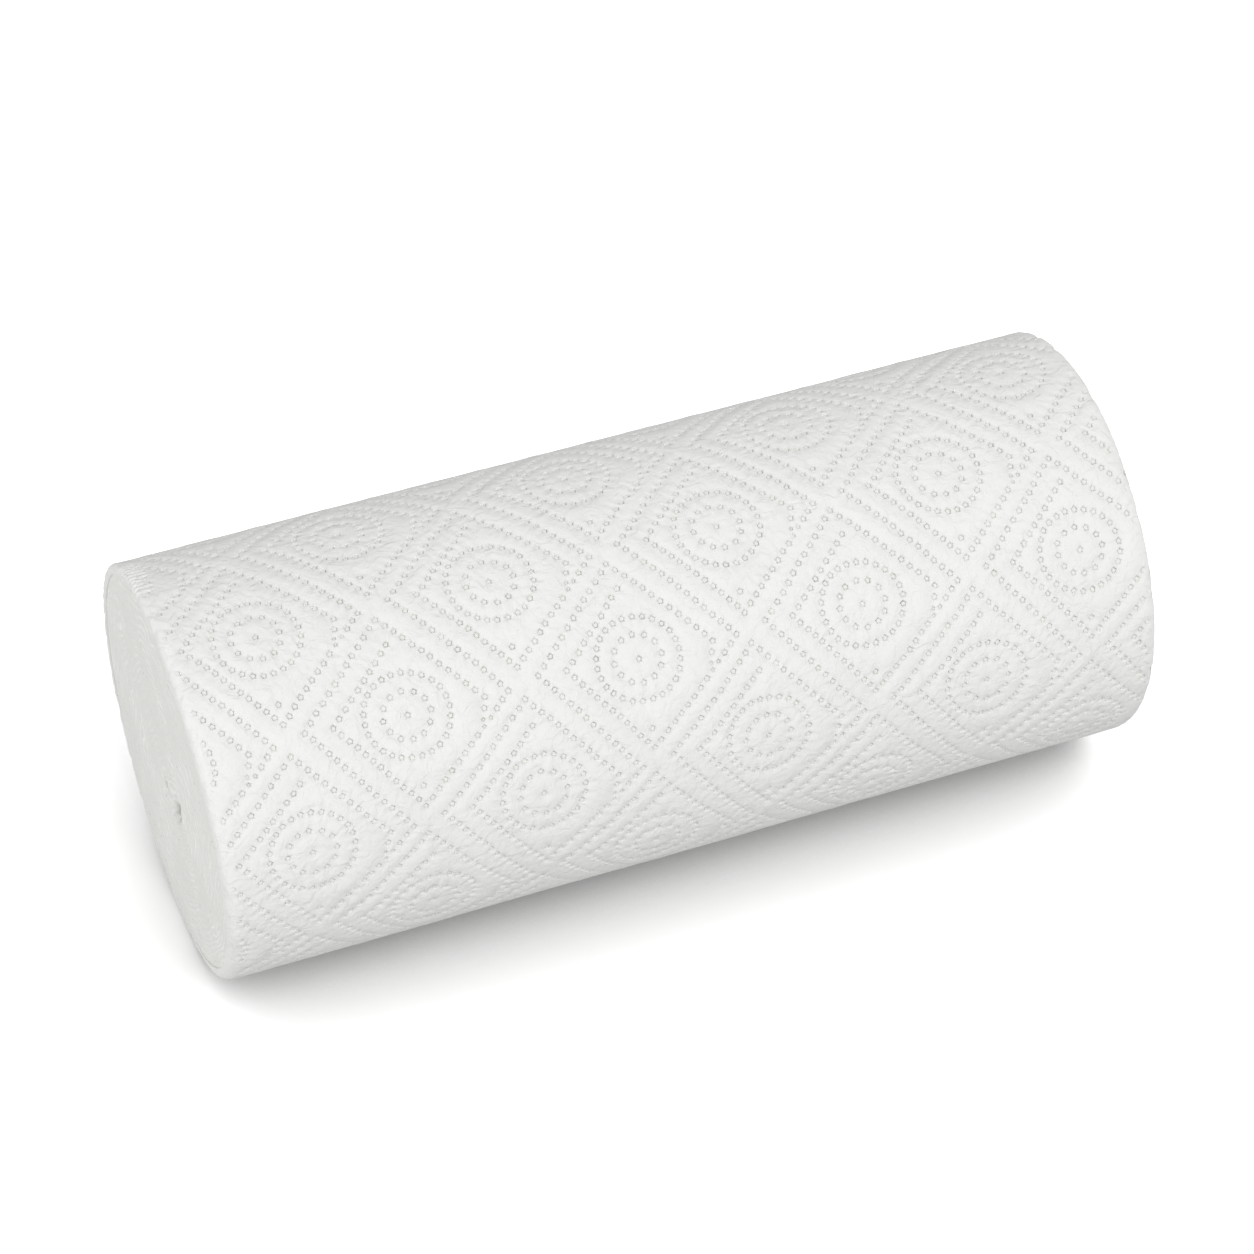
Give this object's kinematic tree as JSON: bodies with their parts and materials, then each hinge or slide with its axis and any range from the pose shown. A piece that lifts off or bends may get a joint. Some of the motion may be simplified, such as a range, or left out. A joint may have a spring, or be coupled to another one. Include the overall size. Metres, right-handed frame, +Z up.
{
  "type": "paper towel roll",
  "caption": "Soft coreless roll of quilted white paper towel, wound to a crumpled middle, lying on its side on a small flat spot.",
  "frame": {"origin": "middle of the flat spot on which the roll lies, which is the middle of the bottom of its box", "axes": "+X along the axis of the roll, away from the end that the picture shows; +Z up; the tail edge of the sheet is on the +Y side"},
  "size_m": [0.23, 0.1001, 0.0994],
  "materials": {
    "paper": "matt, soft two-ply tissue with pressed dots and quilting"
  },
  "bodies": {
    "root": {"towel_roll": "paper"}
  },
  "joints": []
}
